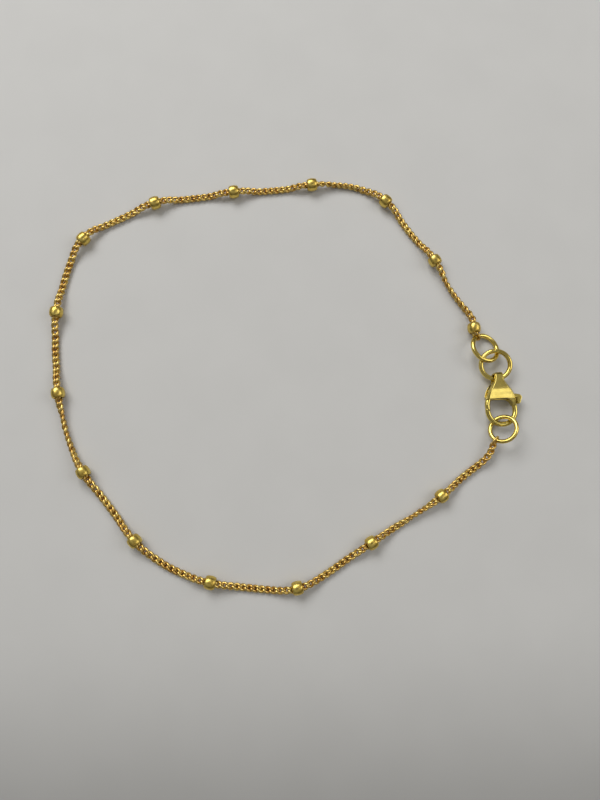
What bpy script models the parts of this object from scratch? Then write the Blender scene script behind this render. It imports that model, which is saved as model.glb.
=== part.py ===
"""Satellite chain bracelet, fastened and lying on a flat surface.

A fine chain carries fifteen rondelle beads at even spacing. Each chain end hooks through a
jump ring. The upper jump ring links through a second one into the tail of a lobster clasp,
and the clasp's hook holds the lower jump ring. +X is to the right and +Y away from the
viewer; the surface is Z = 0 and the origin is the middle of the loop on that surface.
"""

import math

import bmesh
import bpy
import numpy as np
from mathutils import Matrix, Vector

MM = 0.001

# Chain: a tube of the chain's outer size, along the route that the chain lies in.
CHAIN_DIAMETER = 0.95 * MM
CHAIN_REST_GAP = 0.02 * MM
CHAIN_RISE_LENGTH = 4.0 * MM
END_LINK_WIRE = 0.3 * MM
END_LINK_MEAN_DIAMETER = 1.24 * MM
END_LINK_SHIFT = 0.06 * MM

# Beads: rondelles threaded on the chain at an even spacing.
BEAD_COUNT = 15
BEAD_DIAMETER = 1.85 * MM
BEAD_LENGTH = 1.4 * MM
BEAD_BORE_GAP = 0.1 * MM
BEAD_LAND = 0.03 * MM
BEAD_SPACING = 11.58 * MM
FIRST_BEAD = 10.5 * MM
TUBE_POINTS_PER_BEAD = 5
ROUTE_STEPS_PER_POINT = 40

# Where the chain lies, from its lower end round to its upper end, in millimetres.
CHAIN_ROUTE = [
    (28.4, -10.6), (25.1, -13.7), (21.5, -16.6), (16.6, -19.9), (11.6, -22.9),
    (6.7, -26.2), (1.6, -28.8), (-4.2, -28.8), (-9.9, -28.0), (-15.3, -26.1),
    (-19.9, -22.7), (-23.5, -18.3), (-27.0, -13.9), (-29.7, -8.7), (-31.2, -2.9),
    (-32.1, 2.9), (-32.2, 8.9), (-31.3, 14.6), (-29.0, 19.9), (-24.2, 23.0),
    (-19.2, 25.4), (-13.4, 26.5), (-7.6, 27.4), (-1.8, 28.0), (4.0, 28.8),
    (9.5, 28.8), (14.5, 26.6), (18.1, 21.9), (21.7, 17.2), (24.4, 12.1),
    (27.0, 7.1),
]

# Clasp: its eye centre on the surface, its turn, and the sizes of its body.
CLASP_PLACE = (30.19 * MM, -4.9 * MM)
CLASP_TURN = math.radians(3.4)
CLASP_LENGTH = 7.73 * MM
CLASP_THICKNESS = 2.2 * MM
CLASP_BACK_FULLNESS = 1.2
CLASP_SQUARENESS = 2.6
CLASP_FLAT_BACK_FROM = 0.8
HOOK_WIRE = 0.72 * MM
HOOK_ROOT = 0.75
HOOK_ROOT_INSET = 0.02 * MM
EYE_WIDTH = 3.14 * MM
EYE_HEAD_LENGTH = 1.62 * MM
EYE_CORNER = 0.6 * MM
EYE_RELIEF = 0.03 * MM
TAIL_WALL = 0.3 * MM
TAIL_BORE_GAP = 0.21 * MM
TAIL_BORE_FLARE = 0.22 * MM
TAIL_BORE_STEPS = 6

# Clasp body sections, from the tail end to the leg above the hook, as shares of the tail's
# distance from the eye centre, of the half width and of the half thickness.
CLASP_SECTIONS = [
    # along, width, height
    (1.00, 0.18, 0.42),
    (0.98, 0.27, 0.68),
    (0.93, 0.32, 0.83),
    (0.855, 0.335, 0.88),
    (0.77, 0.39, 0.90),
    (0.68, 0.53, 0.95),
    (0.59, 0.70, 1.00),
    (0.50, 0.82, 0.98),
    (0.40, 0.90, 0.90),
    (0.30, 0.94, 0.76),
    (0.20, 0.96, 0.58),
    (0.11, 0.985, 0.38),
]
SECTION_POINTS = 28

# Lever: a flat gate and thumb piece in a slot through the body, on a hidden pin.
SLOT_FRONT = EYE_HEAD_LENGTH + 0.08 * MM
SLOT_GAP = 0.07 * MM
TAIL_BRIDGE = 0.44 * MM
PIVOT_ACROSS = -0.4585
PIVOT_ALONG_SLOT = 0.547
PIN_DIAMETER = 0.56 * MM
PIN_GAP = 0.05 * MM
PIN_RECESS = 0.05 * MM
PIN_HOLD = 0.33 * MM
LEVER_THICKNESS = 0.7 * MM
LEVER_EDGE = 0.14 * MM
LEVER_BOSS_WALL = 0.17 * MM
THUMB_ROOT_WIDTH = 0.75 * MM
THUMB_END_WIDTH = 0.5 * MM
THUMB_RELIEF = 0.1 * MM
KNOB_RADIUS = 0.44 * MM
KNOB_REACH = 0.24 * MM
KNOB_BACKSET = 0.05 * MM
KNOB_TOE_RADIUS = 0.22 * MM
KNOB_TOE_DROP = 0.65 * MM

# The gate's edges between the seam and the boss: inset from the hook wire's edge, as a share
# of the wire, and distance from the eye centre, as a share of the pin's.
GATE_INNER_EDGE = [
    # inset, along
    (0.14, 0.265),
    (0.62, 0.589),
]
GATE_OUTER_EDGE = [
    # inset, along
    (0.39, 0.736),
    (0.11, 0.442),
]

# The seam between hook and gate: its height above the eye centre, its slant and its gap.
SEAM_RISE = 0.2 * MM
SEAM_ANGLE = math.radians(40)
SEAM_GAP = 0.1 * MM

# Jump rings: wire, outer size, tilt, the direction of the lowest point and the place.
RING_REST_GAP = 0.01 * MM
UPPER_RING_WIRE = 0.64 * MM
UPPER_RING_DIAMETER = 4.62 * MM
UPPER_RING_TILT = math.radians(21.5)
UPPER_RING_LOW_SIDE = math.radians(39.5)
UPPER_RING_OFFSET = (-1.33 * MM, 2.48 * MM)
UPPER_RING_LINK_TURN = math.radians(82)
MIDDLE_RING_WIRE = 0.66 * MM
MIDDLE_RING_DIAMETER = 4.67 * MM
MIDDLE_RING_TILT = math.radians(10.4)
MIDDLE_RING_LOW_SIDE = math.radians(207)
MIDDLE_RING_LEAN = math.radians(96.7)
MIDDLE_RING_SEAT = (0.04 * MM, 0.07 * MM)
LOWER_RING_WIRE = 0.6 * MM
LOWER_RING_DIAMETER = 4.24 * MM
LOWER_RING_TILT = math.radians(38)
LOWER_RING_LOW_SIDE = math.radians(157)
LOWER_RING_OFFSET = (-0.13 * MM, -0.71 * MM)
LOWER_RING_LINK_TURN = math.radians(77)
RING_SEGMENTS = 40
RING_SIDES = 12

GOLD = (0.80, 0.56, 0.17, 1.0)


def collection(name):
    made = bpy.data.collections.new(name)
    bpy.context.scene.collection.children.link(made)
    return made


def gold_material(name, roughness):
    made = bpy.data.materials.new(name)
    made.use_nodes = True
    shader = made.node_tree.nodes["Principled BSDF"]
    shader.inputs["Base Color"].default_value = GOLD
    shader.inputs["Metallic"].default_value = 1.0
    shader.inputs["Roughness"].default_value = roughness
    return made


def new_object(name, data, home, matrix=None):
    made = bpy.data.objects.new(name, data)
    home.objects.link(made)
    if matrix is not None:
        made.matrix_world = matrix
    return made


def as_mesh(curve_object, home):
    """The curve's solid as a mesh object of the same name, with its caps welded on."""
    name = curve_object.name
    matrix = curve_object.matrix_world.copy()
    bpy.context.view_layer.update()
    graph = bpy.context.evaluated_depsgraph_get()
    mesh = bpy.data.meshes.new_from_object(curve_object.evaluated_get(graph))
    cage = bmesh.new()
    cage.from_mesh(mesh)
    bmesh.ops.remove_doubles(cage, verts=cage.verts, dist=1e-7)
    bmesh.ops.recalc_face_normals(cage, faces=cage.faces)
    cage.to_mesh(mesh)
    cage.free()
    bpy.data.objects.remove(curve_object)
    return new_object(name, mesh, home, matrix)


def wire(name, points, diameter, resolution, home, matrix=None):
    """A round wire through the points, with filled ends."""
    curve = bpy.data.curves.new(name, "CURVE")
    curve.dimensions = "3D"
    curve.bevel_depth = diameter / 2
    curve.bevel_resolution = resolution
    curve.use_fill_caps = True
    spline = curve.splines.new("POLY")
    spline.points.add(len(points) - 1)
    for point, place in zip(spline.points, points):
        point.co = (*place, 1.0)
    return new_object(name, curve, home, matrix)


def prism(name, outline, low, high, home, matrix):
    """The flat outline, filled and extruded from one height to the other."""
    curve = bpy.data.curves.new(name, "CURVE")
    curve.dimensions = "2D"
    curve.fill_mode = "BOTH"
    curve.extrude = (high - low) / 2
    spline = curve.splines.new("POLY")
    spline.points.add(len(outline) - 1)
    for point, (x, y) in zip(spline.points, outline):
        point.co = (x, y, 0.0, 1.0)
    spline.use_cyclic_u = True
    lift = Matrix.Translation((0, 0, (low + high) / 2))
    return as_mesh(new_object(name, curve, home, matrix @ lift), home)


def turned(name, profile, segments, home, matrix):
    """The profile of (radius, height) points, turned about its own Z axis."""
    cage = bmesh.new()
    verts = [cage.verts.new((radius, 0, height)) for radius, height in profile]
    for start, end in zip(verts[:-1], verts[1:]):
        cage.edges.new((start, end))
    if profile[0][0] > 0:
        cage.edges.new((verts[-1], verts[0]))
    mesh = bpy.data.meshes.new(name)
    cage.to_mesh(mesh)
    cage.free()
    made = new_object(name, mesh, home, matrix)
    screw = made.modifiers.new("turn", "SCREW")
    screw.steps = segments
    screw.render_steps = segments
    screw.use_merge_vertices = True
    screw.merge_threshold = 1e-7
    return made


def boolean(target, other, operation):
    modifier = target.modifiers.new(other.name, "BOOLEAN")
    modifier.operation = operation
    modifier.solver = "EXACT"
    modifier.object = other


def cut_by(target, cutter):
    boolean(target, cutter, "DIFFERENCE")


def hide(helper):
    helper.hide_render = True
    helper.display_type = "WIRE"
    return helper


def finish(made, material, smooth_angle=40):
    made.data.materials.clear()
    made.data.materials.append(material)
    made.data.shade_smooth()
    made.data.set_sharp_from_angle(angle=math.radians(smooth_angle))
    return made


def arc(centre, radius, start, end, steps):
    """Points along an arc between two angles in degrees, ends included."""
    angles = np.radians(np.linspace(start, end, steps + 1))
    return [(centre[0] + radius * math.cos(a), centre[1] + radius * math.sin(a)) for a in angles]


# Jump rings


class Ring:
    """A jump ring's place: its centre, its sizes and the axes of its tilted plane."""

    def __init__(self, wire_diameter, outer_diameter, tilt, low_side, flat_centre, height=None):
        self.wire = wire_diameter
        self.radius = (outer_diameter - wire_diameter) / 2
        toward = Vector((math.cos(low_side), math.sin(low_side), 0))
        self.low = toward * math.cos(tilt) - Vector((0, 0, math.sin(tilt)))
        self.side = Vector((-math.sin(low_side), math.cos(low_side), 0))
        self.normal = self.low.cross(self.side)
        if height is None:
            height = wire_diameter / 2 + RING_REST_GAP + self.radius * math.sin(tilt)
        self.centre = Vector((*flat_centre, height))

    def outward(self, turn):
        """The direction out from the centre, turned from the lowest point."""
        return self.low * math.cos(turn) + self.side * math.sin(turn)

    def matrix(self):
        turn = Matrix((self.low, self.side, self.normal)).transposed().to_4x4()
        return Matrix.Translation(self.centre) @ turn


def build_ring(name, ring, home, material):
    bpy.ops.mesh.primitive_torus_add(
        major_radius=ring.radius,
        minor_radius=ring.wire / 2,
        major_segments=RING_SEGMENTS,
        minor_segments=RING_SIDES,
    )
    made = bpy.context.object
    for owner in list(made.users_collection):
        owner.objects.unlink(made)
    home.objects.link(made)
    made.name = name
    made.matrix_world = ring.matrix()
    return finish(made, material)


# Clasp


def clasp_matrix():
    place = Matrix.Translation((*CLASP_PLACE, CLASP_THICKNESS / 2))
    return place @ Matrix.Rotation(CLASP_TURN, 4, "Z")


def hook_radius():
    return (EYE_WIDTH + HOOK_WIRE) / 2


def tail_end():
    """The tail's distance from the eye centre."""
    return CLASP_LENGTH - hook_radius() - HOOK_WIRE / 2


def tail_bore_radius():
    return MIDDLE_RING_WIRE / 2 + TAIL_BORE_GAP


def tail_hole():
    return tail_end() - TAIL_WALL - tail_bore_radius()


def slot_back():
    """The lever's slot ends a bridge of metal short of the tail's hole."""
    return tail_hole() - tail_bore_radius() - TAIL_BRIDGE


def pivot():
    """The lever's pin stands near the gate side, about halfway along the slot."""
    across = PIVOT_ACROSS * (hook_radius() + HOOK_WIRE / 2)
    return across, SLOT_FRONT + PIVOT_ALONG_SLOT * (slot_back() - SLOT_FRONT)


def clasp_head(home, matrix):
    """The body from tail to leg: a loft through rounded sections with a flat back."""
    cage = bmesh.new()
    half_width = hook_radius() + HOOK_WIRE / 2
    half_height = CLASP_THICKNESS / 2
    rings = []
    for along, width, height in CLASP_SECTIONS:
        row = []
        for step in range(SECTION_POINTS):
            angle = 2 * math.pi * step / SECTION_POINTS
            power = 2 / CLASP_SQUARENESS
            across = math.copysign(abs(math.cos(angle)) ** power, math.cos(angle))
            up = math.copysign(abs(math.sin(angle)) ** power, math.sin(angle))
            fullness = CLASP_BACK_FULLNESS if up < 0 and height > CLASP_FLAT_BACK_FROM else 1.0
            z = max(up * height * half_height * fullness, -half_height)
            row.append(cage.verts.new((across * width * half_width, along * tail_end(), z)))
        rings.append(row)
    for upper, lower in zip(rings[:-1], rings[1:]):
        for step in range(SECTION_POINTS):
            following = (step + 1) % SECTION_POINTS
            cage.faces.new((upper[step], upper[following], lower[following], lower[step]))
    cage.faces.new(rings[0])
    cage.faces.new(rings[-1])
    bmesh.ops.recalc_face_normals(cage, faces=cage.faces)
    bmesh.ops.triangulate(cage, faces=cage.faces)
    mesh = bpy.data.meshes.new("clasp_body")
    cage.to_mesh(mesh)
    cage.free()
    return new_object("clasp_body", mesh, home, matrix)


def eye_cutter(home, matrix):
    """The eye's head end, open to the gate side and rounded at the leg."""
    side = hook_radius() - HOOK_WIRE / 2 - EYE_RELIEF
    corner = (side - EYE_CORNER, EYE_HEAD_LENGTH - EYE_CORNER)
    far = -2 * EYE_WIDTH
    outline = [(far, -EYE_WIDTH), (side, -EYE_WIDTH)]
    outline += arc(corner, EYE_CORNER, 0, 90, 8)
    outline += [(far, EYE_HEAD_LENGTH)]
    return prism("eye_cutter", outline, -CLASP_THICKNESS, CLASP_THICKNESS, home, matrix)


def slot_cutter(home, matrix):
    """The lever's slot, from side to side between the eye and the neck."""
    reach = 2 * EYE_WIDTH
    inner = hook_radius() - HOOK_WIRE
    mouth = EYE_HEAD_LENGTH / 2
    outline = [
        (-reach, mouth),
        (inner, mouth),
        (inner, SLOT_FRONT),
        (reach, SLOT_FRONT),
        (reach, slot_back()),
        (-reach, slot_back()),
    ]
    half = LEVER_THICKNESS / 2 + SLOT_GAP
    return prism("slot_cutter", outline, -half, half, home, matrix)


def tail_cutter(home, matrix):
    """The tail's cross hole, flared to both sides."""
    half = hook_radius()
    mouth = 2 * MIDDLE_RING_WIRE
    profile = [(0.0, half)]
    for share in np.linspace(1, -1, TAIL_BORE_STEPS + 1):
        flare = TAIL_BORE_FLARE * (share * half / mouth) ** 2
        profile.append((tail_bore_radius() + flare, share * half))
    profile.append((0.0, -half))
    turn = Matrix.Rotation(math.radians(90), 4, "Y")
    place = matrix @ Matrix.Translation((0, tail_hole(), 0)) @ turn
    return turned("tail_cutter", profile, 24, home, place)


def hook(home, matrix):
    """The hook's wire, from inside the leg round to the seam with the gate."""
    radius = hook_radius()
    root = EYE_HEAD_LENGTH * HOOK_ROOT
    flat = [(radius - HOOK_ROOT_INSET, root)] + arc((0, 0), radius, 0, -180, 26) + [(-radius, root)]
    path = [(x, y, 0) for x, y in flat]
    return as_mesh(wire("hook_wire", path, HOOK_WIRE, 4, home, matrix), home)


def seam_cutter(home, matrix):
    """Everything of the hook that lies past its slanted seam with the gate."""
    turn = Matrix.Translation((-hook_radius(), SEAM_RISE, 0)) @ Matrix.Rotation(-SEAM_ANGLE, 4, "Z")
    reach = HOOK_WIRE * 1.5
    past = 2 * reach
    outline = [(-reach, -SEAM_GAP / 2), (reach, -SEAM_GAP / 2), (reach, past), (-reach, past)]
    return prism("seam_cutter", outline, -CLASP_THICKNESS, CLASP_THICKNESS, home, matrix @ turn)


def pin_cylinder(name, diameter, low, high, home, matrix):
    cage = bmesh.new()
    place = Matrix.Translation((*pivot(), (low + high) / 2))
    bmesh.ops.create_cone(
        cage,
        cap_ends=True,
        segments=16,
        radius1=diameter / 2,
        radius2=diameter / 2,
        depth=high - low,
        matrix=place,
    )
    mesh = bpy.data.meshes.new(name)
    cage.to_mesh(mesh)
    cage.free()
    return new_object(name, mesh, home, matrix)


def pin_top():
    return LEVER_THICKNESS / 2 + SLOT_GAP + PIN_HOLD


def build_clasp_body(parts, cutters, matrix, material):
    body = clasp_head(parts, matrix)
    cut_by(body, hide(eye_cutter(cutters, matrix)))
    cut_by(body, hide(slot_cutter(cutters, matrix)))
    wire_hook = hide(hook(cutters, matrix))
    cut_by(wire_hook, hide(seam_cutter(cutters, matrix)))
    boolean(body, wire_hook, "UNION")
    cut_by(body, hide(tail_cutter(cutters, matrix)))
    bore = pin_cylinder(
        "pin_bore",
        PIN_DIAMETER + 2 * PIN_GAP,
        -CLASP_THICKNESS,
        pin_top() + PIN_GAP,
        cutters,
        matrix,
    )
    cut_by(body, hide(bore))
    return finish(body, material)


def seam_height(x):
    """Where the gate's slanted end lies at this x."""
    across = x + hook_radius()
    return SEAM_RISE + (SEAM_GAP / 2 - math.sin(SEAM_ANGLE) * across) / math.cos(SEAM_ANGLE)


def lever_outline():
    """Gate on the left, boss round the pin, and the thumb knob past the body's right side."""
    outer = hook_radius() + HOOK_WIRE / 2 - EYE_RELIEF
    inner = hook_radius() - HOOK_WIRE / 2
    side = outer + SLOT_GAP
    front = SLOT_FRONT + SLOT_GAP
    boss = PIN_DIAMETER / 2 + PIN_GAP + LEVER_BOSS_WALL
    centre = pivot()
    gate = [(-inner, seam_height(-inner))]
    gate += [(inset * HOOK_WIRE - inner, along * centre[1]) for inset, along in GATE_INNER_EDGE]
    gate.append((centre[0] + boss / 2, centre[1] - boss))
    toe = (side + KNOB_TOE_RADIUS, SLOT_FRONT - KNOB_TOE_DROP)
    crown = (side + KNOB_REACH, SLOT_FRONT + KNOB_BACKSET)
    thumb = [(side / 2, front + THUMB_RELIEF), (side, front), (side, toe[1] - KNOB_TOE_RADIUS / 2)]
    knob = arc(toe, KNOB_TOE_RADIUS, 200, 330, 3) + arc(crown, KNOB_RADIUS, -20, 80, 5)
    top = [(side - THUMB_RELIEF, front + THUMB_END_WIDTH), (side * 0.4, front + THUMB_ROOT_WIDTH)]
    round_boss = arc(centre, boss, 60, 190, 7)
    back = [(inset * HOOK_WIRE - outer, along * centre[1]) for inset, along in GATE_OUTER_EDGE]
    back.append((-outer, seam_height(-outer)))
    return gate + thumb + knob + top + round_boss + back


def build_lever(parts, cutters, matrix, material):
    half = LEVER_THICKNESS / 2
    lever = prism("clasp_lever", lever_outline(), -half, half, parts, matrix)
    edge = lever.modifiers.new("edges", "BEVEL")
    edge.width = LEVER_EDGE
    edge.segments = 2
    edge.limit_method = "ANGLE"
    edge.angle_limit = math.radians(60)
    bore = pin_cylinder(
        "lever_bore",
        PIN_DIAMETER + 2 * PIN_GAP,
        -CLASP_THICKNESS,
        CLASP_THICKNESS,
        cutters,
        matrix,
    )
    cut_by(lever, hide(bore))
    return finish(lever, material)


def build_pin(parts, matrix, material):
    low = -CLASP_THICKNESS / 2 + PIN_RECESS
    pin = pin_cylinder("clasp_pivot_pin", PIN_DIAMETER, low, pin_top(), parts, matrix)
    return finish(pin, material)


# Chain and beads


def spline_through(points):
    """A natural cubic curve through the points; returns its places at many even steps."""
    places = np.array(points, float)
    knots = np.concatenate([[0], np.cumsum(np.linalg.norm(np.diff(places, axis=0), axis=1))])
    gaps = np.diff(knots)
    count = len(places)
    system = np.eye(count)
    right = np.zeros_like(places)
    for i in range(1, count - 1):
        system[i, i - 1 : i + 2] = gaps[i - 1], 2 * (gaps[i - 1] + gaps[i]), gaps[i]
        slopes = np.diff(places[i - 1 : i + 2], axis=0) / gaps[i - 1 : i + 1, None]
        right[i] = 6 * (slopes[1] - slopes[0])
    bends = np.linalg.solve(system, right)
    at = np.linspace(0, knots[-1], ROUTE_STEPS_PER_POINT * count)
    i = np.clip(np.searchsorted(knots, at, side="right") - 1, 0, count - 2)
    gap = gaps[i][:, None]
    before = (at - knots[i])[:, None]
    after = gap - before
    cubic = (bends[i] * after**3 + bends[i + 1] * before**3) / (6 * gap)
    linear = (places[i] / gap - bends[i] * gap / 6) * after
    linear += (places[i + 1] / gap - bends[i + 1] * gap / 6) * before
    return cubic + linear


class Route:
    """The chain's way along the surface, by distance from its lower end."""

    def __init__(self, low_end, high_end):
        middle = [(x * MM, y * MM) for x, y in CHAIN_ROUTE]
        points = [tuple(low_end[:2])] + middle + [tuple(high_end[:2])]
        self.places = spline_through(points)
        steps = np.linalg.norm(np.diff(self.places, axis=0), axis=1)
        self.distance = np.concatenate([[0], np.cumsum(steps)])
        self.length = self.distance[-1]
        self.end_heights = (low_end[2], high_end[2])
        self.beads = [FIRST_BEAD + i * BEAD_SPACING for i in range(BEAD_COUNT)]

    def height(self, along):
        """The chain lies on the surface, and rises to each bead's bore and to both ends."""
        rest = CHAIN_DIAMETER / 2 + CHAIN_REST_GAP
        lifts = [(bead, BEAD_DIAMETER / 2 + CHAIN_REST_GAP - rest) for bead in self.beads]
        lifts.append((0.0, self.end_heights[0] - rest))
        lifts.append((self.length, self.end_heights[1] - rest))
        lift = max(size * rise(abs(along - place)) for place, size in lifts)
        return rest + lift

    def at(self, along):
        x = np.interp(along, self.distance, self.places[:, 0])
        y = np.interp(along, self.distance, self.places[:, 1])
        return Vector((x, y, self.height(along)))


def rise(away):
    """1 through the bead itself, easing to 0 at the rise length."""
    flat = BEAD_LENGTH
    share = (away - flat) / (CHAIN_RISE_LENGTH - flat)
    share = min(max(share, 0.0), 1.0)
    return 0.5 + 0.5 * math.cos(math.pi * share)


def chain_distances(route):
    """Distances of the tube's points, evenly spread in each bead interval."""
    half_step = BEAD_SPACING / TUBE_POINTS_PER_BEAD / 2
    lead = np.linspace(0, route.beads[0] - half_step, TUBE_POINTS_PER_BEAD)
    between = [
        bead + half_step * (2 * k + 1) for bead in route.beads[:-1] for k in range(TUBE_POINTS_PER_BEAD)
    ]
    return [*lead, *between, (route.beads[-1] + route.length) / 2, route.length]


def bead_matrix(route, along):
    """The bead's axis is the straight stretch of chain through it."""
    half_step = BEAD_SPACING / TUBE_POINTS_PER_BEAD / 2
    before = route.at(along - half_step)
    after = route.at(min(along + half_step, (along + route.length) / 2))
    heading = (after - before).normalized()
    centre = before + heading * (route.at(along) - before).dot(heading)
    return Matrix.Translation(centre) @ heading.to_track_quat("Z", "Y").to_matrix().to_4x4()


def bead_profile():
    """A round-backed rondelle with a bore: down the outside, then back up the bore."""
    bore = CHAIN_DIAMETER / 2 + BEAD_BORE_GAP
    land = bore + BEAD_LAND
    outside = arc((0, 0), 1.0, 90, -90, 10)
    swell = BEAD_DIAMETER / 2 - land
    profile = [(bore, BEAD_LENGTH / 2)]
    profile += [(land + swell * x, y * BEAD_LENGTH / 2) for x, y in outside]
    profile += [(bore, -BEAD_LENGTH / 2)]
    return profile


def build_beads(route, home, material):
    for i, along in enumerate(route.beads, start=1):
        matrix = bead_matrix(route, along)
        finish(turned(f"bead_{i:02d}", bead_profile(), 16, home, matrix), material)


def link_frame(ring, turn):
    """Where an end link grips the ring: its centre and its outward direction."""
    outward = ring.outward(turn)
    wire_centre = ring.centre + outward * ring.radius
    return wire_centre + outward * END_LINK_SHIFT, outward


def end_link_radius():
    return END_LINK_MEAN_DIAMETER / 2


def chain_end(ring, turn):
    """The end of the tube, on the outer side of its end link."""
    centre, outward = link_frame(ring, turn)
    return centre + outward * end_link_radius()


def end_link(name, ring, turn, home):
    centre, outward = link_frame(ring, turn)
    axes = Matrix((outward, ring.normal, outward.cross(ring.normal))).transposed().to_4x4()
    bpy.ops.mesh.primitive_torus_add(
        major_radius=end_link_radius(),
        minor_radius=END_LINK_WIRE / 2,
        major_segments=16,
        minor_segments=6,
    )
    made = bpy.context.object
    for owner in list(made.users_collection):
        owner.objects.unlink(made)
    home.objects.link(made)
    made.name = name
    made.matrix_world = Matrix.Translation(centre) @ axes
    return made


def build_chain(route, upper, lower, parts, cutters, material):
    points = [route.at(along) for along in chain_distances(route)]
    chain = as_mesh(wire("chain", points, CHAIN_DIAMETER, 2, parts), parts)
    low_link = end_link("lower_end_link", lower, LOWER_RING_LINK_TURN, cutters)
    high_link = end_link("upper_end_link", upper, UPPER_RING_LINK_TURN, cutters)
    boolean(chain, hide(low_link), "UNION")
    boolean(chain, hide(high_link), "UNION")
    return finish(chain, material)


def place_rings(clasp):
    """The middle ring in the tail's hole, the upper one on it and the lower one on the hook."""
    hole = clasp @ Vector((0, tail_hole(), 0))
    reach = (MIDDLE_RING_DIAMETER - MIDDLE_RING_WIRE) / 2
    middle_flat = (
        hole.x + reach * math.cos(MIDDLE_RING_LEAN),
        hole.y + reach * math.sin(MIDDLE_RING_LEAN) - MIDDLE_RING_SEAT[0],
    )
    middle = Ring(
        MIDDLE_RING_WIRE,
        MIDDLE_RING_DIAMETER,
        MIDDLE_RING_TILT,
        MIDDLE_RING_LOW_SIDE,
        middle_flat,
        hole.z + MIDDLE_RING_SEAT[1],
    )
    upper = Ring(
        UPPER_RING_WIRE,
        UPPER_RING_DIAMETER,
        UPPER_RING_TILT,
        UPPER_RING_LOW_SIDE,
        (middle_flat[0] + UPPER_RING_OFFSET[0], middle_flat[1] + UPPER_RING_OFFSET[1]),
    )
    bottom = clasp @ Vector((0, -hook_radius(), 0))
    lower = Ring(
        LOWER_RING_WIRE,
        LOWER_RING_DIAMETER,
        LOWER_RING_TILT,
        LOWER_RING_LOW_SIDE,
        (bottom.x + LOWER_RING_OFFSET[0], bottom.y + LOWER_RING_OFFSET[1]),
    )
    return upper, middle, lower


def main():
    for old in list(bpy.data.objects):
        bpy.data.objects.remove(old)
    parts = collection("chain_bracelet")
    cutters = collection("cutters")
    polished = gold_material("gold_plate_polished", 0.18)
    chain_gold = gold_material("gold_plate_chain", 0.3)

    clasp = clasp_matrix()
    upper, middle, lower = place_rings(clasp)
    build_ring("jump_ring_upper", upper, parts, polished)
    build_ring("jump_ring_middle", middle, parts, polished)
    build_ring("jump_ring_lower", lower, parts, polished)
    build_clasp_body(parts, cutters, clasp, polished)
    build_lever(parts, cutters, clasp, polished)
    build_pin(parts, clasp, polished)

    route = Route(
        chain_end(lower, LOWER_RING_LINK_TURN),
        chain_end(upper, UPPER_RING_LINK_TURN),
    )
    build_chain(route, upper, lower, parts, cutters, chain_gold)
    build_beads(route, parts, polished)


main()
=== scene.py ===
"""The looks of a fine satellite chain bracelet in bright yellow-gold plate.

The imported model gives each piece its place. Real interlocking curb links replace the chain's
tube, and smooth beads, jump rings and a cast clasp replace the faceted ones. Lengths are in
metres, except in the clasp's own workshop, where they are in millimetres.
"""

import math

import bpy
import numpy as np
from mathutils import Matrix, Vector


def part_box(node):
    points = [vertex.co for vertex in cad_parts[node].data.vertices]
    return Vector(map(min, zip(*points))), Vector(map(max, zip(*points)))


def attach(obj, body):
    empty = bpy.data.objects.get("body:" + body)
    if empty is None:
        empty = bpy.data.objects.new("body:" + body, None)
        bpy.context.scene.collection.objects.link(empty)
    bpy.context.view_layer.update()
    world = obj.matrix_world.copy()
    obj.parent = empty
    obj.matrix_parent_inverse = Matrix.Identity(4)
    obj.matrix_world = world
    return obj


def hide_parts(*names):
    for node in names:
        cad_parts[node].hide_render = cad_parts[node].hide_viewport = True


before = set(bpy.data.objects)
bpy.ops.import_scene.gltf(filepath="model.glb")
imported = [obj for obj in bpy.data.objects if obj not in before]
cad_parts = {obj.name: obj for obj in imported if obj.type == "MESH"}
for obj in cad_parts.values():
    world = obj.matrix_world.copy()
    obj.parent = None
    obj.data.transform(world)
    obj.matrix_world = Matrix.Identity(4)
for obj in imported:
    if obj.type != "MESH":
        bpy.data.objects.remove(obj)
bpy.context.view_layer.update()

MM = 0.001

# Chain: curb links of round wire, hooked into each other along the route.
LINK_WIRE = 0.38 * MM
LINK_HALF_LENGTH = 0.61 * MM
LINK_HALF_WIDTH = 0.335 * MM
LINK_TWIST = math.radians(66)
LINK_PITCH = 0.827 * MM
LINK_POINTS = 28
LINK_SIDES = 10
LINK_HAND = math.radians(3)
LINK_SEED = 11
CHAIN_THICKNESS = 0.75 * MM
CHAIN_WIDTH = 1.05 * MM
CHAIN_RISE_START = 1.2 * MM
CHAIN_RISE_LENGTH = 4.0 * MM
BEAD_LIFT = 0.02 * MM
END_LINK_WIRE = 0.3 * MM
END_LINK_SLACK = 0.01 * MM
LOWER_LINK_TURN = math.radians(77)
UPPER_LINK_TURN = math.radians(82)
END_LINK_SHIFT = 0.06 * MM
END_LINK_RADIUS = 0.62 * MM

# Where the chain lies, from its lower end round to its upper end, in metres.
CHAIN_ROUTE = [
    (0.0284, -0.0106), (0.0251, -0.0137), (0.0215, -0.0166), (0.0166, -0.0199),
    (0.0116, -0.0229), (0.0067, -0.0262), (0.0016, -0.0288), (-0.0042, -0.0288),
    (-0.0099, -0.0280), (-0.0153, -0.0261), (-0.0199, -0.0227), (-0.0235, -0.0183),
    (-0.0270, -0.0139), (-0.0297, -0.0087), (-0.0312, -0.0029), (-0.0321, 0.0029),
    (-0.0322, 0.0089), (-0.0313, 0.0146), (-0.0290, 0.0199), (-0.0242, 0.0230),
    (-0.0192, 0.0254), (-0.0134, 0.0265), (-0.0076, 0.0274), (-0.0018, 0.0280),
    (0.0040, 0.0288), (0.0095, 0.0288), (0.0145, 0.0266), (0.0181, 0.0219),
    (0.0217, 0.0172), (0.0244, 0.0121), (0.0270, 0.0071),
]
ROUTE_STEPS_PER_POINT = 40

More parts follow.
